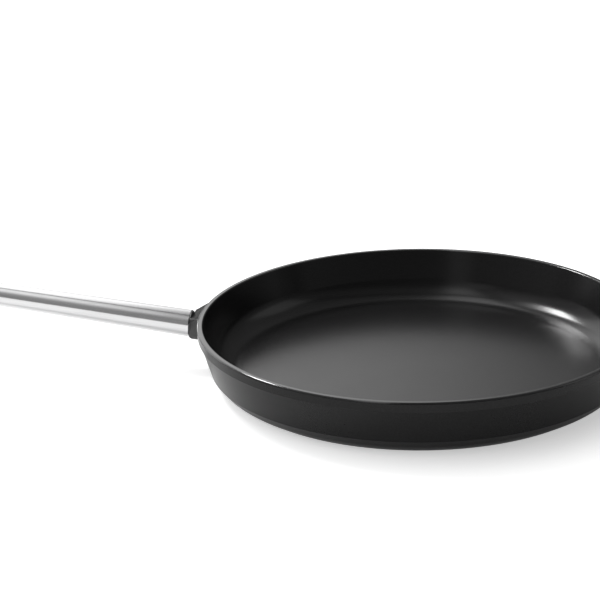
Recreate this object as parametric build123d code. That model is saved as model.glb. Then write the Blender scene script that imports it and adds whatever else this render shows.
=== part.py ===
from build123d import *
import os
from math import cos, radians, sin, tan

# A low cast pan with a tubular steel handle. Lengths are in millimetres, angles in degrees.
# The origin is the centre of the base's underside, +Z is up and the handle points along -X.

# Bowl
rim_radius = 160.0
pan_height = 44.0
floor_thickness = 8.8
rim_width = 4.2
band_height = 7.3
band_draft = 3.0
band_step = 1.1
wall_draft = 17.2
inner_corner_radius = 20.0
outer_corner_radius = 20.0
corner_height = 5.0
corner_rise = 30.0
crease_height = 12.0
crease_rise = 50.0
crease_edge_radius = 1.0
band_edge_radius = 0.35
rim_outer_edge_radius = 1.6
rim_inner_edge_radius = 1.0
base_edge_radius = 1.0

# Perforated plate pressed into the underside
plate_radius = 105.0
plate_thickness = 0.8
plate_hole_radius = 2.4
plate_hole_rings = 7
holes_per_ring_step = 6

# Lug that carries the handle
lug_reach = 8.2
lug_half_width = 9.8
lug_flare = 46.0
lug_centre_drop = 11.8
lug_top_above_axis = 7.0
lug_bottom_below_axis = 9.8
lug_top_drop = 1.9
lug_under_rise = 18.8
lug_bottom_radius = 4.0
lug_side_radius = 1.0
lug_top_radius = 0.5
spigot_radius = 5.75
spigot_length = 7.0
spigot_chamfer = 0.6

# Handle tube
handle_rise = 5.9
tube_front_radius = 10.0
tube_rear_radius = 8.1
tube_length = 196.0
tube_wall = 1.4
tube_front_edge_radius = 1.0
tube_edge_radius = 0.35

# Pieces inside the tube
front_bush_length = 8.0
bulkhead_thickness = 4.0
bulkhead_inset = 42.0
bolt_radius = 3.0
bolt_head_radius = 5.0
bolt_head_height = 6.0
bolt_socket_radius = 2.9
bolt_socket_depth = 3.2
bolt_end_chamfer = 0.7
washer_radius = 5.9
washer_thickness = 1.6
insert_radius = 4.0
insert_depth = 7.0
insert_hole_tip = 1.5

# End cap with the hanging eye
cap_spigot_length = 12.0
cap_head_length = 24.0
cap_dome_radius = 5.5
cap_flat_half = 5.2
cap_shoulder = 4.0
eye_radius = 3.5
eye_chamfer = 0.6

# Clearances and the overrun of every cut
fit_gap = 0.05
bolt_gap = 0.2
overrun = 1.0


def turned(face, location=Location()):
    """A solid of revolution: the face is drawn as (radius, height) and spun round its own Z."""
    return location * revolve(Plane.XZ * face, axis=Axis.Z)


def corner_at(face, radius, height):
    """The corner of a drawn face that lies nearest to one radius and height."""
    return face.vertices().sort_by_distance((radius, height, 0))[0]


def rounded(face, radius, height, size):
    """The face with one of its corners rounded."""
    return fillet(corner_at(face, radius, height), size)


# Outline of the outer surface, from the base up to the rim
band_base_height = pan_height - band_height
band_base_radius = rim_radius - band_height * tan(radians(band_draft))
wall_top_radius = band_base_radius - band_step
wall_slope = tan(radians(wall_draft))
crease_radial = wall_top_radius - (band_base_height - crease_height) * wall_slope
corner_radial = crease_radial - (crease_height - corner_height) / tan(radians(crease_rise))
base_radius = corner_radial - corner_height / tan(radians(corner_rise))


def outer_solid():
    """The pan without its cavity: flat base, curved corner, crease, drafted wall and raised band."""
    under_length = corner_height / sin(radians(corner_rise))
    corner_turn = radians(crease_rise - corner_rise)
    corner_limit = (under_length - base_edge_radius) / tan(corner_turn / 2)
    face = make_face(
        Polyline(
            (0, 0),
            (base_radius, 0),
            (corner_radial, corner_height),
            (crease_radial, crease_height),
            (wall_top_radius, band_base_height),
            (band_base_radius, band_base_height),
            (rim_radius, pan_height),
            (0, pan_height),
            close=True,
        )
    )
    face = rounded(face, base_radius, 0, base_edge_radius)
    face = rounded(face, corner_radial, corner_height, min(outer_corner_radius, corner_limit))
    face = rounded(face, crease_radial, crease_height, crease_edge_radius)
    face = rounded(face, band_base_radius, band_base_height, band_edge_radius)
    face = rounded(face, rim_radius, pan_height, rim_outer_edge_radius)
    return turned(face)


def cavity_solid():
    """The space inside the pan: flat floor, large corner radius, drafted wall, soft lip."""
    rim_inner_radius = rim_radius - rim_width
    depth = pan_height - floor_thickness
    floor_corner = rim_inner_radius - depth * wall_slope
    face = make_face(
        Polyline(
            (0, floor_thickness),
            (floor_corner, floor_thickness),
            (rim_inner_radius, pan_height),
            (rim_inner_radius + overrun, pan_height),
            (rim_inner_radius + overrun, pan_height + overrun),
            (0, pan_height + overrun),
            close=True,
        )
    )
    face = rounded(face, floor_corner, floor_thickness, inner_corner_radius)
    face = rounded(face, rim_inner_radius, pan_height, rim_inner_edge_radius)
    return turned(face)


# The handle's own frame: its origin is the centre of the lug's end face, its Z runs outwards
seat_distance = rim_radius + lug_reach
lug_centre_height = pan_height - lug_centre_drop
rise = radians(handle_rise)
handle_direction = (-cos(rise), 0, sin(rise))
handle_frame = Plane(
    origin=(-seat_distance, 0, lug_centre_height), x_dir=(0, 1, 0), z_dir=handle_direction
).location


def lug_solid():
    """A wedge cast with the wall: it widens from the tube's end towards the pan."""
    inner_distance = base_radius
    flare_slope = tan(radians(lug_flare))
    apex_distance = seat_distance + lug_half_width / flare_slope
    root_half_width = (apex_distance - inner_distance) * flare_slope
    plan = make_face(
        Polyline(
            (-inner_distance, -root_half_width),
            (-inner_distance, root_half_width),
            (-apex_distance, 0),
            close=True,
        )
    )
    end_top = (
        -seat_distance + lug_top_above_axis * sin(rise),
        lug_centre_height + lug_top_above_axis * cos(rise),
    )
    end_bottom = (
        -seat_distance - lug_bottom_below_axis * sin(rise),
        lug_centre_height - lug_bottom_below_axis * cos(rise),
    )
    inner_bottom = end_bottom[1] - (inner_distance + end_bottom[0]) * tan(radians(lug_under_rise))
    side = make_face(
        Polyline(
            (-inner_distance, inner_bottom),
            end_bottom,
            end_top,
            (-rim_radius, pan_height - lug_top_drop),
            (-inner_distance, pan_height - lug_top_drop),
            close=True,
        )
    )
    wedge = extrude(plan, amount=pan_height) & extrude(
        Plane.XZ * side, amount=root_half_width, both=True
    )

    # The underside is rounded first, then the end's two sides, then the upper edges
    under_edges = wedge.faces().sort_by(lambda face: face.normal_at().Z)[0].edges().sort_by(Axis.X)[:-1]
    wedge = fillet(under_edges, lug_bottom_radius)
    end_edges = wedge.faces().sort_by(Axis.X)[0].edges().sort_by(Axis.Y)
    wedge = fillet([end_edges[0], end_edges[-1]], lug_side_radius)
    upper_edges = wedge.faces().sort_by(Axis.Z)[-2:].edges()
    end_edge = upper_edges.filter_by(Axis.Y).sort_by(Axis.X)[:1]
    return fillet(upper_edges.filter_by(Axis.Y, reverse=True) + end_edge, lug_top_radius)


def rod(radius, start, end, start_chamfer=0.0, end_chamfer=0.0):
    """A round rod along the handle's axis, with its ends chamfered where a size is given."""
    face = Pos(0, start) * Rectangle(radius, end - start, align=(Align.MIN, Align.MIN))
    if start_chamfer:
        face = chamfer(corner_at(face, radius, start), start_chamfer)
    if end_chamfer:
        face = chamfer(corner_at(face, radius, end), end_chamfer)
    return turned(face, handle_frame)


def plate_holes(radius, depth):
    """Short cylinders on rings: each ring has six more than the ring inside it."""
    ring_pitch = plate_radius / (plate_hole_rings + 1)
    circles = Sketch()
    for ring in range(1, plate_hole_rings + 1):
        count = holes_per_ring_step * ring
        circles += PolarLocations(ring * ring_pitch, count) * Circle(radius)
    return extrude(circles, amount=depth)


def make_pan_body():
    """Bowl, lug and spigot in one casting, with pegs that fill the base plate's holes."""
    body = outer_solid() + lug_solid() - cavity_solid()
    body += rod(spigot_radius, -overrun, spigot_length, end_chamfer=spigot_chamfer)
    body -= insert_hole()
    body -= extrude(Circle(plate_radius + fit_gap), amount=plate_thickness)
    return body + plate_holes(plate_hole_radius - fit_gap, plate_thickness)


def insert_hole():
    """The blind hole for the thread insert, with a drilled tip."""
    radius = insert_radius + fit_gap
    face = make_face(
        Polyline(
            (0, -insert_depth - insert_hole_tip),
            (radius, -insert_depth),
            (radius, spigot_length + overrun),
            (0, spigot_length + overrun),
            close=True,
        )
    )
    return turned(face, handle_frame)


def make_induction_plate():
    """A thin perforated disc, flush with the base's underside."""
    return extrude(Circle(plate_radius), amount=plate_thickness) - plate_holes(
        plate_hole_radius, plate_thickness
    )


def make_thread_insert():
    """A threaded bush in the lug that takes the tie bolt."""
    return rod(insert_radius, -insert_depth, spigot_length) - rod(
        bolt_radius + fit_gap, -insert_depth - overrun, spigot_length + overrun
    )


# The tube is a plain cone; everything inside it follows the same taper
tube_taper = (tube_front_radius - tube_rear_radius) / tube_length


def bore_radius_at(distance):
    """The tube's inner radius at a distance along its axis from the lug."""
    return tube_front_radius - tube_wall - distance * tube_taper


def plug(start, end, gap):
    """A solid that fills the tube's bore between two distances, less a gap all round."""
    face = make_face(
        Polyline(
            (0, start),
            (bore_radius_at(start) - gap, start),
            (bore_radius_at(end) - gap, end),
            (0, end),
            close=True,
        )
    )
    return turned(face, handle_frame)


def make_handle_tube():
    """A hollow cone of polished steel, with its cut edges eased."""
    face = make_face(
        Polyline(
            (bore_radius_at(0), 0),
            (tube_front_radius, 0),
            (tube_rear_radius, tube_length),
            (bore_radius_at(tube_length), tube_length),
            close=True,
        )
    )
    face = rounded(face, tube_front_radius, 0, tube_front_edge_radius)
    face = rounded(face, tube_rear_radius, tube_length, tube_edge_radius)
    return turned(face, handle_frame)


def make_front_bush():
    """Closes the tube's front end, bears on the lug and centres the tube on the spigot."""
    return plug(0, front_bush_length, fit_gap) - rod(
        spigot_radius + fit_gap, -overrun, front_bush_length + overrun
    )


bulkhead_start = tube_length - bulkhead_inset
bulkhead_end = bulkhead_start + bulkhead_thickness
washer_end = bulkhead_end + washer_thickness


def make_rear_bulkhead():
    """A disc across the tube that the tie bolt pulls against."""
    return plug(bulkhead_start, bulkhead_end, fit_gap) - rod(
        bolt_radius + bolt_gap, bulkhead_start - overrun, bulkhead_end + overrun
    )


def make_bolt_washer():
    """The washer between the tie bolt's head and the bulkhead."""
    return rod(washer_radius, bulkhead_end, washer_end) - rod(
        bolt_radius + bolt_gap, bulkhead_end - overrun, washer_end + overrun
    )


def make_tie_bolt():
    """A long socket-head bolt from the bulkhead through the tube into the lug's insert."""
    head_end = washer_end + bolt_head_height
    shank = rod(bolt_radius, -insert_depth, washer_end, start_chamfer=bolt_end_chamfer)
    head = rod(bolt_head_radius, washer_end, head_end, end_chamfer=bolt_end_chamfer)
    socket = extrude(RegularPolygon(bolt_socket_radius, 6), amount=bolt_socket_depth + overrun)
    socket = handle_frame * Pos(0, 0, head_end - bolt_socket_depth) * socket
    return shank + head - socket


def make_end_cap():
    """A domed plug for the tube's rear end, flattened and pierced for hanging the pan up."""
    head_end = tube_length + cap_head_length
    face = make_face(
        Polyline(
            (0, tube_length),
            (tube_rear_radius, tube_length),
            (tube_rear_radius, head_end),
            (0, head_end),
            close=True,
        )
    )
    face = rounded(face, tube_rear_radius, head_end, cap_dome_radius)
    face = rounded(face, tube_rear_radius, tube_length, tube_edge_radius)
    head = turned(face)
    flat_start = tube_length + cap_shoulder
    flat_cut = Box(
        2 * tube_rear_radius + overrun,
        tube_rear_radius,
        cap_head_length,
        align=(Align.CENTER, Align.MIN, Align.MIN),
    )
    head -= Pos(0, cap_flat_half, flat_start) * flat_cut
    head -= Rot(0, 0, 180) * Pos(0, cap_flat_half, flat_start) * flat_cut
    eye_height = flat_start + (cap_head_length - cap_shoulder) / 2
    eye = Pos(0, 0, eye_height) * Rot(90, 0, 0) * Cylinder(eye_radius, 2 * tube_rear_radius)
    head -= eye
    rims = head.edges().filter_by(GeomType.CIRCLE)
    rims = rims.filter_by(lambda edge: abs(abs(edge.center().Y) - cap_flat_half) < fit_gap)
    head = chamfer(rims, eye_chamfer)
    return plug(tube_length - cap_spigot_length, tube_length, fit_gap) + handle_frame * head


pieces = {
    "pan_body": make_pan_body,
    "induction_plate": make_induction_plate,
    "thread_insert": make_thread_insert,
    "handle_tube": make_handle_tube,
    "front_bush": make_front_bush,
    "rear_bulkhead": make_rear_bulkhead,
    "bolt_washer": make_bolt_washer,
    "tie_bolt": make_tie_bolt,
    "end_cap": make_end_cap,
}

os.makedirs("parts", exist_ok=True)
for name, make in pieces.items():
    solid = make()
    export_step(solid, f"parts/{name}.step")
    print(name, f"{solid.volume:.0f} mm3")
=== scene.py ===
# %% [markdown]
# # A low cast pan with a steel tube handle
#
# The pan is one aluminium casting with a black coating, and its handle is a tapered tube of polished
# steel. Both are surfaces that a lathe could make, so nearly every piece here is a profile turned
# round an axis. Only the lug, which carries the handle, is a shape of another kind.
#
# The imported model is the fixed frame: sizes are read from it, and each new piece sits exactly where
# the piece that it stands for sits.

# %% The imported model
from math import cos, radians, sin, tan

import bpy
import numpy as np
from mathutils import Matrix, Vector


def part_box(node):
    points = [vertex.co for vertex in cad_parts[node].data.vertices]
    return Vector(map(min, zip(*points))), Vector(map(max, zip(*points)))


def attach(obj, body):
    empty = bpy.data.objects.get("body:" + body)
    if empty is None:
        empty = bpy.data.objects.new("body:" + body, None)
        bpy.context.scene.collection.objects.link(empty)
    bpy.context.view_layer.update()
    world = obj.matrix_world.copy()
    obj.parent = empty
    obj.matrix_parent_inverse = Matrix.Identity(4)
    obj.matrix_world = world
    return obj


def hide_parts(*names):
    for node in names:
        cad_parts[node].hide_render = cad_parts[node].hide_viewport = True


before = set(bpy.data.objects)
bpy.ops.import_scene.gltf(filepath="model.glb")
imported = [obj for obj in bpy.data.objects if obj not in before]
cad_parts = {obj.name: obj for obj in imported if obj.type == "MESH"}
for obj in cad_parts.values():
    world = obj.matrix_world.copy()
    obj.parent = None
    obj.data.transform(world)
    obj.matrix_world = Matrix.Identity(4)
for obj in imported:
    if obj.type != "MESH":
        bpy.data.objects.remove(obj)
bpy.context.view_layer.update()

# %% [markdown]
# ## Three helpers for surfaces
#
# A profile is drawn like a drawing on paper: a few corners, and a radius for each. Real edges are
# never perfectly sharp, and it is the small radius that catches the light. Blender could round the
# edges with a Bevel modifier, but here each arc is worked out, because then its radius is a real
# size and the flat runs beside it stay flat in the reflections.

# %% Profiles with rounded corners
support_distance, largest_support_share = 0.0002, 0.25


def rounded_profile(corners, radii, steps=10, run_steps=0, closed=False):
    """Points along a polyline whose corners are arcs that touch both runs.

    An arc's ends lie radius times the tangent of half the turn away from its corner, and its centre
    lies one radius to the side. Each run gets a point close to both of its ends, so that the
    smooth shading of an arc doesn't spread over the flat beside it."""
    corners = np.asarray(corners, float)
    radii = np.asarray(radii, float)[:, None]
    into = corners - np.roll(corners, 1, axis=0)
    into /= np.linalg.norm(into, axis=1, keepdims=True)
    out = np.roll(into, -1, axis=0)
    turn = np.arctan2(into[:, 0] * out[:, 1] - into[:, 1] * out[:, 0], (into * out).sum(1))
    side = np.sign(turn)[:, None] * np.stack([-into[:, 1], into[:, 0]], 1)
    start = corners - into * radii * np.tan(np.abs(turn)[:, None] / 2)
    centre = start + side * radii
    angle = turn[:, None] * np.linspace(0, 1, steps + 1)
    spoke = start - centre
    arcs = np.stack(
        [
            spoke[:, :1] * np.cos(angle) - spoke[:, 1:] * np.sin(angle),
            spoke[:, :1] * np.sin(angle) + spoke[:, 1:] * np.cos(angle),
        ],
        2,
    ) + centre[:, None]
    if not closed:
        arcs[0], arcs[-1] = corners[0], corners[-1]
    ends, starts = arcs[:, -1], np.roll(arcs[:, 0], -1, axis=0)
    length = np.linalg.norm(starts - ends, axis=1)[:, None, None]
    near = np.minimum(support_distance / length, largest_support_share)
    share = near + (1 - 2 * near) * np.linspace(0, 1, run_steps + 2)[None, :, None]
    runs = ends[:, None] * (1 - share) + starts[:, None] * share
    if closed:
        return np.concatenate([arcs, runs], 1).reshape(-1, 2)
    middle = np.concatenate([arcs, runs], 1)[1:-1].reshape(-1, 2)
    return np.concatenate([corners[:1], runs[0], middle, corners[-1:]])


# %% Turning a profile round an axis
def turned(profile, count):
    """A grid of points: each profile point (radius, height) goes round +Z in count steps.

    x is the radius times the cosine of the angle, and y is the radius times the sine."""
    angle = np.linspace(0, 2 * np.pi, count, endpoint=False)
    radius, height = profile[:, :1], profile[:, 1:]
    return np.stack([radius * np.cos(angle), radius * np.sin(angle), height + 0 * angle], 2)


# %% From a grid of points to a mesh
def grid_faces(rows, columns, wrap_rows=False):
    """The four corners of every cell of a grid whose columns run in a ring."""
    row = np.arange(rows if wrap_rows else rows - 1)[:, None]
    column = np.arange(columns)[None, :]
    beside = (column + 1) % columns
    below = (row + 1) % rows
    corners = [
        row * columns + column,
        row * columns + beside,
        below * columns + beside,
        below * columns + column,
    ]
    return np.stack(corners, 2).reshape(-1, 4)


def closed_shell(grid, poles=True, wrap_rows=False):
    """One closed skin: its points, its four-sided faces and its triangles.

    The rings may close at both ends in a pole, the middle of the last ring there."""
    rows, columns = grid.shape[:2]
    points = grid.reshape(-1, 3)
    quads = grid_faces(rows, columns, wrap_rows)
    triangles = np.empty((0, 3), int)
    if poles:
        tips = np.stack([grid[0].mean(0), grid[-1].mean(0)])
        points = np.concatenate([points, tips])
        first_tip, last_row = rows * columns, (rows - 1) * columns
        ring = np.arange(columns)
        beside = (ring + 1) % columns
        start = np.stack([beside, ring, np.full(columns, first_tip)], 1)
        end = np.stack([last_row + ring, last_row + beside, np.full(columns, first_tip + 1)], 1)
        triangles = np.concatenate([start, end])
    return points, quads, triangles


def volume_of(points, quads, triangles):
    """Signed volume: each triangle makes a thin pyramid with the origin, and a quad is two triangles.

    It is positive where the faces look out."""
    halves = np.concatenate([quads[:, [0, 1, 2]], quads[:, [0, 2, 3]], triangles])
    first, second, third = points[halves].transpose(1, 0, 2)
    return (first * np.cross(second, third)).sum() / 6


sharp_angle = radians(35)


def make_piece(name, shells, stands_for):
    """One object from one or more closed skins, smooth except across sharp edges."""
    points, faces, first, volume = [], [], 0, 0.0
    for shell_points, quads, triangles in shells:
        shell_volume = volume_of(shell_points, quads, triangles)
        if shell_volume < 0:
            quads, triangles = quads[:, ::-1], triangles[:, ::-1]
        points.append(shell_points)
        faces += (first + quads).tolist() + (first + triangles).tolist()
        first += len(shell_points)
        volume += abs(shell_volume)
    mesh = bpy.data.meshes.new(name)
    mesh.from_pydata(np.concatenate(points), [], faces)
    mesh.polygons.foreach_set("use_smooth", np.ones(len(mesh.polygons), bool))
    mesh.set_sharp_from_angle(angle=sharp_angle)
    mesh.update()
    piece = bpy.data.objects.new(name, mesh)
    bpy.context.scene.collection.objects.link(piece)
    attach(piece, "root")
    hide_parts(stands_for)
    mesh.calc_loop_triangles()
    print(name, len(mesh.loop_triangles), "triangles,", round(volume * 1e6, 2), "cubic centimetres")
    return piece


# %% [markdown]
# ## The bowl
#
# The real bowl is poured in a steel mould and then turned on a lathe, so one profile says it all. It
# starts under the base, where a round recess holds the steel disc, goes out to the corner, past a
# crease and up the drafted wall, round the raised band and the flat rim, and comes back inside. A
# revolved profile is better here than a sculpted mesh: every ring is truly round, and that is what
# the long soft reflections show.

# %% The bowl's profile
pan_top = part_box("pan_body")[1].z
disc_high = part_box("induction_plate")[1]
rim_radius, rim_width = 0.16, 0.0042
floor_height = 0.0088
band_height, band_step, band_slope = 0.0073, 0.0011, tan(radians(3))
wall_slope = tan(radians(17.2))
crease_height, crease_rise = 0.012, radians(50)
corner_height, corner_rise = 0.005, radians(30)
disc_gap = 0.00005

band_lean = band_height * band_slope
band_base = pan_top - band_height
wall_top_radius = rim_radius - band_lean - band_step
crease_radius = wall_top_radius - (band_base - crease_height) * wall_slope
corner_radius = crease_radius - (crease_height - corner_height) / tan(crease_rise)
base_radius = corner_radius - corner_height / tan(corner_rise)
recess_radius = disc_high.x + disc_gap
recess_height = disc_high.z
floor_radius = rim_radius - rim_width - (pan_top - floor_height) * wall_slope

edge_break = 0.0001
base_round, corner_round, crease_round = 0.001, 0.02, 0.001
step_inner_round, step_outer_round = 0.0004, 0.00035
rim_outer_round, rim_inner_round, floor_round = 0.0016, 0.001, 0.02

outside_corners = [
    (0, recess_height),
    (recess_radius, recess_height),
    (recess_radius, 0),
    (base_radius, 0),
    (corner_radius, corner_height),
    (crease_radius, crease_height),
    (wall_top_radius, band_base),
    (rim_radius - band_lean, band_base),
    (rim_radius, pan_top),
    (rim_radius - rim_width, pan_top),
]
outside_rounds = [
    0,
    edge_break,
    edge_break,
    base_round,
    corner_round,
    crease_round,
    step_inner_round,
    step_outer_round,
    rim_outer_round,
    rim_inner_round,
]
inside_corners = [(floor_radius, floor_height), (0, floor_height)]
inside_rounds = [floor_round, 0]
bowl_profile = rounded_profile(
    outside_corners + inside_corners, outside_rounds + inside_rounds, steps=11, run_steps=2
)
print("profile points:", len(bowl_profile), " rim radius:", round(bowl_profile[:, 0].max(), 5))

# %% The outer wall as a function of height
# The step under the band is level, so a nanometre more per point keeps the heights rising.
base_margin, nanometre = 0.002, 1e-9
outer_part = bowl_profile[bowl_profile[:, 0] >= base_radius - base_margin]
outer_part = outer_part[: outer_part[:, 1].argmax()]
wall_heights = outer_part[:, 1] + np.arange(len(outer_part)) * nanometre


def wall_radius(height):
    """The outside radius at a height, read off the profile."""
    return np.interp(height, wall_heights, outer_part[:, 0])


print("wall radius at the crease:", round(float(wall_radius(crease_height)), 5))

# %% [markdown]
# ## The lug
#
# The lug is cast with the bowl. It is a short wedge: as wide as the tube where the tube starts, wider
# at the wall, climbing towards the rim on top and underneath, and rounded below so that it comes out
# of the mould. Its outline is carried inwards along straight lines, one from each point of the
# outline, until each line meets the bowl. A soft fillet then leads it into the wall, as in every
# casting.

# %% The handle's own directions
seat_distance, seat_drop = 0.1682, 0.0118
rise = radians(5.9)
outwards = np.array([-cos(rise), 0, sin(rise)])
across = np.array([0.0, 1.0, 0.0])
upwards = np.array([sin(rise), 0, cos(rise)])
seat = np.array([-seat_distance, 0, pan_top - seat_drop])


def on_handle(side, height, distance):
    """Points from their place across, above and along the handle's axis, counted from the lug's end."""
    return seat + side[..., None] * across + height[..., None] * upwards + distance[..., None] * outwards


print("handle direction:", outwards.round(4))

# %% The lug's outline, and how it grows towards the bowl
end_half_width, end_top, end_bottom = 0.0098, 0.007, -0.0098
flare = tan(radians(46))
top_drop, under_rise = 0.0019, radians(18.8)
lug_bottom_round, lug_side_round, lug_top_round = 0.004, 0.001, 0.0005
top_edge = seat + end_top * upwards
top_rise = np.arctan2(pan_top - top_drop - top_edge[2], -rim_radius - top_edge[0])


def lug_outline(inward):
    """The lug's section, inward metres from its end: it widens and climbs, and its corners are rounded.

    The flanks stand upright, so a point's width goes by how far it lies from the end in plan."""
    top = end_top + tan(top_rise + rise) * inward
    bottom = end_bottom + tan(under_rise + rise) * inward
    high, low = [
        end_half_width + flare * (inward * cos(rise) + level * sin(rise)) for level in (top, bottom)
    ]
    corners = [(low, bottom), (high, top), (-high, top), (-low, bottom)]
    rounds = [lug_bottom_round, lug_top_round, lug_top_round, lug_bottom_round]
    return rounded_profile(corners, rounds, steps=8, run_steps=16, closed=True)


trial_step = 0.001
outline = lug_outline(0.0)
growth = (lug_outline(trial_step) - outline) / trial_step
along_outline = np.roll(outline, -1, axis=0) - np.roll(outline, 1, axis=0)
normal = np.stack([along_outline[:, 1], -along_outline[:, 0]], 1)
normal /= np.linalg.norm(normal, axis=1, keepdims=True)
under = np.clip(-normal[:, 1], 0, 1) ** 2
above = np.clip(normal[:, 1], 0, 1) ** 2
beside = normal[:, 0] ** 2
wall_fillet, top_fillet = 0.003, 0.0005
end_rounding = lug_bottom_round * under + lug_side_round * beside + lug_top_round * above
fillet = wall_fillet * (under + beside) + top_fillet * above
print("outline points:", len(outline))


# %% The lug's skin
def lug_point(inward):
    """A point on each line that runs from the outline towards the bowl."""
    section = outline + growth * inward[:, None]
    return on_handle(section[:, 0], section[:, 1], -inward)


def bend(start, corner, end, steps):
    """Rings along a curve that leaves start towards corner and arrives at end from corner."""
    share = np.linspace(0, 1, steps + 1)[:, None, None]
    return (1 - share) ** 2 * start + 2 * share * (1 - share) * corner + share**2 * end


search_depth, halvings = 0.02, 30
below_rim, into_wall, into_metal, tip_depth = 0.0002, 0.00003, 0.0015, 0.0025
flank_gap = 0.0001
round_steps, flank_rings, fillet_steps = 8, 8, 10
hole_radius, hole_depth = 0.00405, 0.007
spigot_radius, spigot_length, spigot_chamfer = 0.00575, 0.007, 0.0006


def lug_rings():
    """Rings from the spigot's hole over the end face and the flanks to the wall, and on into the metal.

    Where each line meets the wall is found by halving: the point is outside while its distance from
    the bowl's axis is more than the wall's radius at its height."""
    near, far = end_rounding.copy(), np.full(len(outline), search_depth)
    for _ in range(halvings):
        middle = (near + far) / 2
        point = lug_point(middle)
        outside = np.hypot(point[:, 0], point[:, 1]) > wall_radius(point[:, 2])
        near, far = np.where(outside, middle, near), np.where(outside, far, middle)
    meet = lug_point(near)
    landing = meet + fillet[:, None] * (normal[:, :1] * across + normal[:, 1:] * upwards)
    angle = np.arctan2(landing[:, 1], landing[:, 0])
    height = np.minimum(landing[:, 2], pan_top - below_rim)
    radius = wall_radius(height) - into_wall
    landing = np.stack([radius * np.cos(angle), radius * np.sin(angle), height], 1)
    sunk = landing * ((radius - into_metal) / radius)[:, None] ** np.array([1, 1, 0])
    inset = outline - normal * end_rounding[:, None]
    zero = np.zeros(len(outline))
    end_ring = on_handle(inset[:, 0], inset[:, 1], zero)
    edge = bend(end_ring, lug_point(zero), lug_point(end_rounding), round_steps)
    flank_start, flank_end = end_rounding + flank_gap, near - fillet
    share = np.linspace(0, 1, flank_rings)[:, None]
    flank = np.stack([lug_point(inward) for inward in flank_start + (flank_end - flank_start) * share])
    foot = bend(lug_point(near - fillet), meet, landing, fillet_steps)
    around = np.arctan2(outline[:, 1], outline[:, 0])
    hole_and_spigot = [
        (hole_radius, -hole_depth),
        (hole_radius, spigot_length),
        (spigot_radius - spigot_chamfer, spigot_length),
        (spigot_radius, spigot_length - spigot_chamfer),
        (spigot_radius, 0),
    ]
    core = [
        on_handle(radius * np.cos(around), radius * np.sin(around), zero + distance)
        for radius, distance in hole_and_spigot
    ]
    return np.concatenate([np.stack(core), edge, flank, foot[1:], sunk[None]])


lug_grid = lug_rings()
lug_shell = closed_shell(lug_grid)
deepest = lug_shell[0][-1]
deepest[0] = -(wall_radius(deepest[2]) - tip_depth)
print("the lug reaches", round(-lug_grid[..., 0].min() * 1000, 2), "mm from the pan's axis")

# %% [markdown]
# ## Pegs in the base
#
# The steel disc is pressed into the hot base, and aluminium rises through its holes and holds it. The
# pegs are real geometry: seen from below they are rings of bright dots. A hundred and sixty-eight
# copies of one small turned shape are cheap, as each has only a few faces.

# %% The pegs
peg_radius, peg_root, peg_end, peg_round = 0.00235, 0.0003, 0.00002, 0.0002
peg_rings, pegs_per_ring_step, peg_columns = 7, 6, 16
ring_pitch = disc_high.x / (peg_rings + 1)
peg_top = recess_height + peg_root
peg_profile = rounded_profile(
    [(0, peg_top), (peg_radius, peg_top), (peg_radius, peg_end), (0, peg_end)],
    [0, edge_break, peg_round, 0],
    steps=2,
)
peg = turned(peg_profile[1:-1], peg_columns)
rings = range(1, peg_rings + 1)
ring_of = np.concatenate([np.full(pegs_per_ring_step * ring, ring) for ring in rings])
place_in_ring = np.concatenate([np.arange(pegs_per_ring_step * ring) for ring in rings])
peg_angle = 2 * np.pi * place_in_ring / (pegs_per_ring_step * ring_of)
from_middle = ring_of * ring_pitch
peg_places = np.stack([from_middle * np.cos(peg_angle), from_middle * np.sin(peg_angle), 0 * peg_angle], 1)
peg_shells = [closed_shell(peg + place) for place in peg_places]
print("pegs:", len(peg_shells))

# %% The casting
bowl_columns = 384
bowl_shell = closed_shell(turned(bowl_profile[1:-1], bowl_columns))
casting = make_piece("pan_casting", [bowl_shell, lug_shell, *peg_shells], "pan_body")

# %% [markdown]
# ## The handle's tube
#
# The tube is drawn steel, a plain cone that loses almost two millimetres of radius over its length.
# Its wall is modelled too, because its cut front end shows as a thin lip above the black lug.

# %% The tube
tube_front, tube_rear, tube_length, tube_wall = 0.01, 0.0081, 0.196, 0.0014
tube_front_round, tube_rear_round, tube_bore_round, tube_columns = 0.001, 0.00035, 0.0002, 160
tube_profile = rounded_profile(
    [
        (tube_front, 0),
        (tube_rear, tube_length),
        (tube_rear - tube_wall, tube_length),
        (tube_front - tube_wall, 0),
    ],
    [tube_front_round, tube_rear_round, tube_bore_round, tube_bore_round],
    steps=6,
    run_steps=12,
    closed=True,
)


def on_axis(profile, count):
    """A profile (radius, distance) turned round the handle's axis."""
    angle = np.linspace(0, 2 * np.pi, count, endpoint=False)
    radius, distance = profile[:, :1], profile[:, 1:]
    return on_handle(radius * np.cos(angle), radius * np.sin(angle), distance + 0 * angle)


tube_shell = closed_shell(on_axis(tube_profile, tube_columns), poles=False, wrap_rows=True)
tube = make_piece("tapered_tube", [tube_shell], "handle_tube")

# %% [markdown]
# ## Finishes
#
# Every finish is worked out by nodes from the piece's own coordinates, so it stays on the piece from
# any side. Small helpers keep the node trees short enough to read.


# %% Node helpers
class Nodes:
    """A node tree with a short way to add nodes to it."""

    def __init__(self, tree):
        self.tree = tree

    def add(self, kind, inputs=None, **settings):
        """A new node, with its settings and with its inputs linked or set."""
        node = self.tree.nodes.new("ShaderNode" + kind)
        for setting, value in settings.items():
            setattr(node, setting, value)
        for socket, value in (inputs or {}).items():
            if isinstance(value, bpy.types.NodeSocket):
                self.tree.links.new(value, node.inputs[socket])
            else:
                node.inputs[socket].default_value = value
        return node


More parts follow.
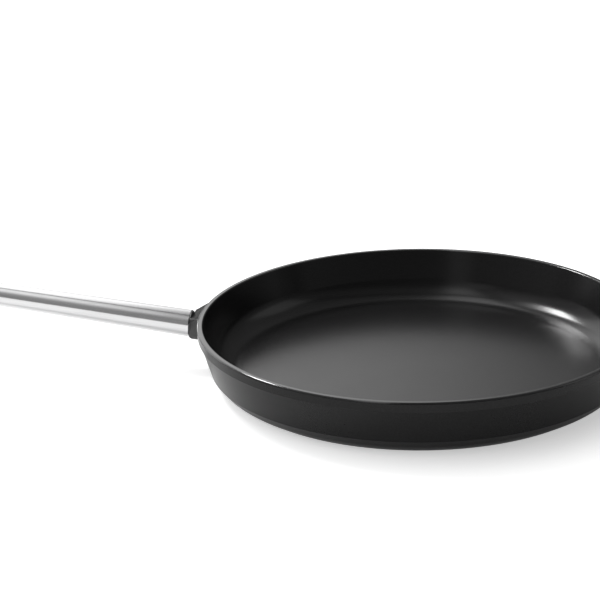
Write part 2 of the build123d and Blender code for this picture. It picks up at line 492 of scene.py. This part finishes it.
class Finish(Nodes):
    """A material with short ways to make its patterns."""

    def __init__(self, name, **surface):
        self.material = bpy.data.materials.new(name)
        self.material.use_nodes = True
        super().__init__(self.material.node_tree)
        self.shader = self.tree.nodes["Principled BSDF"]
        for socket, value in surface.items():
            self.shader.inputs[socket.replace("_", " ")].default_value = value

    def place(self, scale=(1, 1, 1), turn=(0, 0, 0)):
        """The piece's own coordinates, in metres, turned and stretched."""
        own = self.add("TexCoord").outputs["Object"]
        return self.add("Mapping", {"Vector": own, "Rotation": turn, "Scale": scale}).outputs[0]

    def noise(self, vector, scale, detail=3.0, roughness=0.55):
        inputs = {"Vector": vector, "Scale": scale, "Detail": detail, "Roughness": roughness}
        return self.add("TexNoise", inputs).outputs["Fac"]

    def span(self, value, low, high, start=0.0, end=1.0):
        """value stretched so that start to end becomes low to high."""
        inputs = {"Value": value, "From Min": start, "From Max": end, "To Min": low, "To Max": high}
        return self.add("MapRange", inputs).outputs[0]

    def shades(self, value, dark, light, start=0.0, end=1.0):
        """A colour that goes from dark to light while value goes from start to end."""
        ramp = self.add("ValToRGB", {"Fac": value})
        for stop, position, colour in zip(ramp.color_ramp.elements, (start, end), (dark, light)):
            stop.position, stop.color = position, (*colour, 1)
        return ramp.outputs[0]

    def bump(self, height, strength, distance):
        inputs = {"Height": height, "Strength": strength, "Distance": distance}
        return self.add("Bump", inputs).outputs[0]

    def drive(self, socket, value):
        self.tree.links.new(value, self.shader.inputs[socket])


def darker(colour, share):
    """The same colour at a share of its strength."""
    return tuple(share * channel for channel in colour)


# %% [markdown]
# ### The coating
#
# Inside, the non-stick coating is sprayed in thin layers and baked. It is black and half glossy, with
# a fine grain that breaks a highlight into sparkles. The rim has a smoother coat, and the outside a
# thinner and duller one. Black paint shows its shape almost only by what it reflects, so the work is
# in the roughness and in the bumps, not in the colour.


# %% The coating's finish
coat_dark, coat_light = (0.0075, 0.0075, 0.0076), (0.0135, 0.0135, 0.0138)
wear_radius, clean_radius = 0.11, 0.14
cloud_scale, unevenness = 28.0, 0.015


def coating(name, rough, grain_size, grain_depth, shine, floor_wear=0.0):
    """A black coating. Wear adds to the roughness on the floor, where food and tools rub."""
    finish = Finish(name, IOR=1.5, Specular_IOR_Level=shine)
    place = finish.place()
    grain = finish.noise(place, 1 / grain_size, 2.0)
    cloud = finish.noise(place, cloud_scale, 2.0)
    around = finish.add("VectorMath", {0: finish.place((1, 1, 0))}, operation="LENGTH").outputs["Value"]
    worn = finish.span(around, floor_wear, 0.0, wear_radius, clean_radius)
    uneven = finish.span(cloud, rough - unevenness, rough + unevenness, 0.1, 0.9)
    finish.drive("Roughness", finish.add("Math", {0: uneven, 1: worn}, operation="ADD").outputs[0])
    finish.drive("Base Color", finish.shades(grain, coat_dark, coat_light, 0.3, 0.75))
    finish.drive("Normal", finish.bump(grain, 0.35, grain_depth))
    return finish.material


inside_coat = coating("nonstick_inside", 0.2, 0.0011, 0.00005, 0.5, floor_wear=0.05)
rim_coat = coating("coating_rim", 0.13, 0.0011, 0.00002, 1.0)
outside_coat = coating("coating_outside", 0.24, 0.0009, 0.00004, 0.22)


# %% [markdown]
# ### Turned metal
#
# The base is machined flat once the disc is in, which leaves fine rings round the pan's axis. Noise
# that depends only on the distance from that axis makes such rings.


# %% Turned aluminium and turned steel
def turned_metal(name, colour, rough, ring_size, depth):
    finish = Finish(name, Metallic=1.0)
    place = finish.place((1, 1, 0))
    distance = finish.add("VectorMath", {0: place}, operation="LENGTH").outputs["Value"]
    line = finish.add("CombineXYZ", {"X": distance}).outputs[0]
    rings = finish.noise(line, 1 / ring_size, 2.0, 0.7)
    blotch = finish.noise(finish.place(), 40.0, 3.0)
    finish.drive("Base Color", finish.shades(blotch, darker(colour, 0.82), colour, 0.3, 0.7))
    finish.drive("Roughness", finish.span(rings, rough - 0.06, rough + 0.08, 0.3, 0.7))
    finish.drive("Normal", finish.bump(rings, 0.5, depth))
    return finish.material


peg_metal = turned_metal("turned_aluminium", (0.72, 0.72, 0.73), 0.34, 0.0007, 0.00003)
disc_metal = turned_metal("turned_disc_steel", (0.52, 0.52, 0.53), 0.3, 0.0005, 0.00003)


# %% [markdown]
# ### Polished tube steel
#
# The tube is polished along its length. The grain lines are as long as a finger and less than a
# millimetre wide, so the pattern is noise stretched along the handle's own axis.


# %% Steel with a lengthwise grain
# Both patterns are given as waves per metre: along the handle, across it and upwards.
fine_waves, broad_waves = (18.0, 1500.0, 1500.0), (6.0, 260.0, 260.0)


def lengthwise_steel(name, colour, rough, depth):
    finish = Finish(name, Metallic=1.0)
    grain = finish.noise(finish.place(fine_waves, (0, rise, 0)), 1.0, 2.0)
    broad = finish.noise(finish.place(broad_waves, (0, rise, 0)), 1.0, 2.0)
    finish.drive("Base Color", finish.shades(broad, darker(colour, 0.93), colour, 0.35, 0.65))
    finish.drive("Roughness", finish.span(grain, rough - 0.02, rough + 0.04, 0.3, 0.7))
    finish.drive("Normal", finish.bump(grain, 0.12, depth))
    return finish.material


tube_steel = lengthwise_steel("polished_tube_steel", (0.78, 0.78, 0.785), 0.13, 0.00002)


# %% Steel inside the handle
ring_waves = (1600.0, 60.0, 60.0)


def machined_steel(name, colour, rough):
    finish = Finish(name, Metallic=1.0)
    rings = finish.noise(finish.place(ring_waves, (0, rise, 0)), 1.0, 2.0)
    finish.drive("Base Color", finish.shades(rings, darker(colour, 0.85), colour))
    finish.drive("Roughness", finish.span(rings, rough - 0.05, rough + 0.08, 0.3, 0.7))
    finish.drive("Normal", finish.bump(rings, 0.3, 0.00002))
    return finish.material


plain_steel = machined_steel("machined_steel", (0.68, 0.68, 0.69), 0.5)

# %% [markdown]
# ## Which face gets which finish
#
# The casting has four finishes. The coating is glossiest on the rim, half glossy inside and dull
# outside, and the machined underside is bare. The casting's faces are sorted by where they are: by
# their height and their distance from the pan's axis. On the tube it is their direction that counts.

# %% The casting's faces
mesh = casting.data
for material in (outside_coat, inside_coat, peg_metal, rim_coat):
    mesh.materials.append(material)
lip_depth, beyond_rim, floor_margin, machined_depth = 0.0012, 0.001, 0.0001, 1.2 * recess_height
centres = np.empty(len(mesh.polygons) * 3, np.float32)
mesh.polygons.foreach_get("center", centres)
centres = centres.reshape(-1, 3)
from_axis, height = np.hypot(centres[:, 0], centres[:, 1]), centres[:, 2]
inner_wall = rim_radius - rim_width - (pan_top - height) * wall_slope
inside = (from_axis < inner_wall + rim_width / 2) & (height > floor_height - floor_margin)
on_rim = (height > pan_top - lip_depth) & (from_axis < rim_radius + beyond_rim)
machined = (height < machined_depth) & (from_axis < base_radius)
# Each number is a finish's place in the list above, and the outside's coating comes first.
finish_index = np.select([machined, on_rim, inside], [2, 3, 1], 0).astype(np.int32)
mesh.polygons.foreach_set("material_index", finish_index)
print("faces by finish:", np.bincount(finish_index))

# %% The tube's faces
# The tube is polished all over, but its two cut ends are only machined.
along_axis = 0.9
tube.data.materials.append(tube_steel)
tube.data.materials.append(plain_steel)
facings = np.empty(len(tube.data.polygons) * 3, np.float32)
tube.data.polygons.foreach_get("normal", facings)
cut = np.abs(facings.reshape(-1, 3) @ outwards) > along_axis
tube.data.polygons.foreach_set("material_index", cut.astype(np.int32))
print("faces on the tube's ends:", cut.sum())

# %% The other pieces
finish_of_node = {
    "induction_plate": disc_metal,
    "end_cap": tube_steel,
    "thread_insert": plain_steel,
    "front_bush": plain_steel,
    "rear_bulkhead": plain_steel,
    "bolt_washer": plain_steel,
    "tie_bolt": plain_steel,
}
for node, material in finish_of_node.items():
    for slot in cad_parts[node].material_slots:
        slot.material = material
print("finished nodes:", len(finish_of_node))

# %% [markdown]
# ## The studio
#
# The photograph is a product shot: a white floor and backdrop, bright panels behind and overhead with
# a thin gap between them, one small strong light behind the pan to the left, and a dark room round
# the camera. Dark gloss needs the dark room as much as the lights: it makes the pan look black.

# %% The floor
floor_size, floor_drop = 30.0, 0.0001
floor_grey, camera_glow, mirror_glow = 0.85, 0.5, 0.1
floor_mesh = bpy.data.meshes.new("floor")
corner = floor_size / 2
floor_corners = [(-corner, -corner, 0), (corner, -corner, 0), (corner, corner, 0), (-corner, corner, 0)]
floor_mesh.from_pydata(floor_corners, [], [(0, 1, 2, 3)])
floor = bpy.data.objects.new("floor", floor_mesh)
bpy.context.scene.collection.objects.link(floor)
floor.location.z = -floor_drop

floor_finish = Finish("white_floor")
paper = floor_finish.add("BsdfDiffuse", {"Color": (floor_grey, floor_grey, floor_grey, 1)}).outputs[0]
path = floor_finish.add("LightPath").outputs
glossy = {0: path["Is Glossy Ray"], 1: mirror_glow}
mirrored = floor_finish.add("Math", glossy, operation="MULTIPLY").outputs[0]
direct = {0: path["Is Camera Ray"], 2: mirrored, 3: camera_glow}
glow = floor_finish.add("Mix", direct, data_type="FLOAT").outputs[0]
light = floor_finish.add("Emission", {"Strength": glow}).outputs[0]
both = floor_finish.add("AddShader", {0: paper, 1: light})
output = floor_finish.tree.nodes["Material Output"]
floor_finish.tree.links.new(both.outputs[0], output.inputs["Surface"])
floor_mesh.materials.append(floor_finish.material)
print("floor:", floor_size, "m wide")

# %% The room around the pan
world = bpy.data.worlds.new("studio")
bpy.context.scene.world = world
world.use_nodes = True
room = Nodes(world.node_tree)


def maths(operation, *values):
    """One Math node of the world's tree."""
    return room.add("Math", dict(enumerate(values)), operation=operation).outputs[0]


def within(value, low, high, soft):
    """1 from low to high, and a smooth fall to 0 over the width soft outside them."""
    rising = {"Value": value, "From Min": low - soft, "From Max": low}
    falling = {"Value": value, "From Min": high, "From Max": high + soft, "To Min": 1.0, "To Max": 0.0}
    start = room.add("MapRange", rising, interpolation_type="SMOOTHSTEP").outputs[0]
    end = room.add("MapRange", falling, interpolation_type="SMOOTHSTEP").outputs[0]
    return maths("MULTIPLY", start, end)


direction = room.add("TexCoord").outputs["Generated"]
axes = room.add("SeparateXYZ", {0: direction}).outputs
azimuth = maths("ARCTAN2", axes["X"], axes["Y"])
elevation = maths("ARCSINE", axes["Z"])


def panel(level, azimuths, elevations, soft):
    """A soft-edged panel. Angles are in degrees: azimuth 0 is behind the pan and -90 is on its left."""
    wide = within(azimuth, *[radians(value) for value in azimuths], radians(soft))
    high = within(elevation, *[radians(value) for value in elevations], radians(soft))
    return maths("MULTIPLY", maths("MULTIPLY", wide, high), level)


panels = [
    panel(1.5, (-64, -36), (-10, 30), 14),
    panel(1.6, (-36, -16), (20, 36), 14),
    panel(0.5, (60, 86), (24, 42), 10),
    panel(0.35, (-165, -147), (28, 44), 8),
    panel(0.17, (105, 180), (2, 12), 6),
    panel(0.17, (-180, -110), (2, 12), 6),
]

# %% The arch of panels over the handle
# The handle lies across the picture and mirrors one narrow arch, from the backdrop over the zenith
# down to the camera's side, so a ramp along that arch sets its stripes. The rest of the ceiling
# has the same ramp much weaker, and a little stronger at its left end, for the handle from other
# sides. Each level is an angle in degrees, from the backdrop's foot over the zenith, and a
# brightness.
arch_levels = [
    (0, 0.6), (30, 1.05), (40, 1.45), (70, 1.55), (84, 1.3), (89, 0.5), (94, 0.5),
    (99, 1.05), (114, 1.1), (123, 0.85), (132, 0.54), (146, 0.28), (180, 0.28),
]
ramp_top = 2.0
ceiling_share, left_end_share = 0.13, 0.3
arch_angle = maths("DIVIDE", maths("ARCTAN2", axes["Z"], axes["Y"]), np.pi)
arch = room.add("ValToRGB", {"Fac": arch_angle})
for _ in arch_levels[2:]:
    arch.color_ramp.elements.new(0.5)
for stop, (angle, level) in zip(arch.color_ramp.elements, arch_levels):
    grey = level / ramp_top
    stop.position, stop.color = angle / 180, (grey, grey, grey, 1)
arch_light = maths("MULTIPLY", arch.outputs[0], ramp_top)
# The panels' edges are given by the direction's share towards the left, which is negative.
over_handle = within(axes["X"], -0.3, -0.14, 0.04)
left_end = maths("MULTIPLY", within(axes["X"], -1.0, -0.46, 0.06), left_end_share)
panels += [maths("MULTIPLY", arch_light, share) for share in (over_handle, ceiling_share, left_end)]
print("room: panels and an arch of", len(arch_levels), "levels")

# %% The world's brightness
# Reflections show the panels, the camera sees plain white, and what lights dull surfaces comes softly
# from the left, so that the shadow falls to the right.
dark_room = 0.055
light_side, dim_side, bright_side = (-0.82, 0.3, 0.48), 0.15, 1.9
room_light = dark_room
for light in panels:
    room_light = maths("MAXIMUM", light, room_light)
path = room.add("LightPath").outputs
slant = room.add("VectorMath", {0: direction, 1: light_side}, operation="DOT_PRODUCT").outputs["Value"]
from_left = room.add("MapRange", {"Value": slant, "To Min": dim_side, "To Max": bright_side}).outputs[0]
unseen = {0: path["Is Glossy Ray"], 2: from_left, 3: room_light}
seen = {0: path["Is Camera Ray"], 2: room.add("Mix", unseen, data_type="FLOAT").outputs[0], 3: 1.0}
shown = room.add("Mix", seen, data_type="FLOAT").outputs[0]
background = world.node_tree.nodes["Background"]
world.node_tree.links.new(shown, background.inputs["Strength"])
background.inputs["Color"].default_value = (1, 1, 1, 1)
print("dark room:", dark_room, " light from the left:", dim_side, "to", bright_side)


# %% The small strong light behind the pan
def soft_box(name, azimuth, elevation, distance, size, radiance):
    """A rectangular lamp that faces the pan. Azimuth 0 is straight behind it and -90 is on its left."""
    azimuth, elevation = radians(azimuth), radians(elevation)
    level, height = cos(elevation), sin(elevation)
    towards = Vector((sin(azimuth) * level, cos(azimuth) * level, height))
    lamp = bpy.data.lights.new(name, "AREA")
    lamp.shape, lamp.size, lamp.size_y = "RECTANGLE", *size
    lamp.energy = radiance * np.pi * size[0] * size[1]
    box = bpy.data.objects.new(name, lamp)
    box.location = towards * distance
    box.rotation_mode = "QUATERNION"
    box.rotation_quaternion = towards.to_track_quat("Z", "Y")
    box.visible_camera = False
    bpy.context.scene.collection.objects.link(box)
    print(name, "power:", round(lamp.energy, 2), "W")


soft_box("key_light", azimuth=-60, elevation=48, distance=1.6, size=(0.5, 0.25), radiance=28.0)

# %% [markdown]
# ## The camera
#
# The lens is long, about 168 mm on a full-frame camera, and two metres away, which is why the pan's
# ellipse looks so calm. The camera is rolled by one degree, as in the photograph.

# %% The camera
camera_azimuth = radians(11.5)
lens, sensor = 0.168, 0.036
target = Vector((-0.0873, 0, 0.0546))
elevation, distance, roll = radians(19.851), 2.0219, radians(-1.087)
forward = Vector(
    (-sin(camera_azimuth) * cos(elevation), cos(camera_azimuth) * cos(elevation), -sin(elevation))
)
right = Vector((cos(camera_azimuth), sin(camera_azimuth), 0))
up = right.cross(forward)
right, up = cos(roll) * right + sin(roll) * up, -sin(roll) * right + cos(roll) * up
lens_data = bpy.data.cameras.new("camera")
lens_data.lens, lens_data.sensor_width = lens * 1000, sensor * 1000
lens_data.sensor_fit = "HORIZONTAL"
lens_data.clip_start, lens_data.clip_end = 0.05, 60
camera = bpy.data.objects.new("camera", lens_data)
bpy.context.scene.collection.objects.link(camera)
turn = Matrix((right, up, -forward)).transposed().to_4x4()
camera.matrix_world = Matrix.Translation(target - forward * distance) @ turn
bpy.context.scene.camera = camera
bpy.context.scene.view_settings.view_transform = "Standard"
print("camera at", [round(value, 4) for value in camera.location])
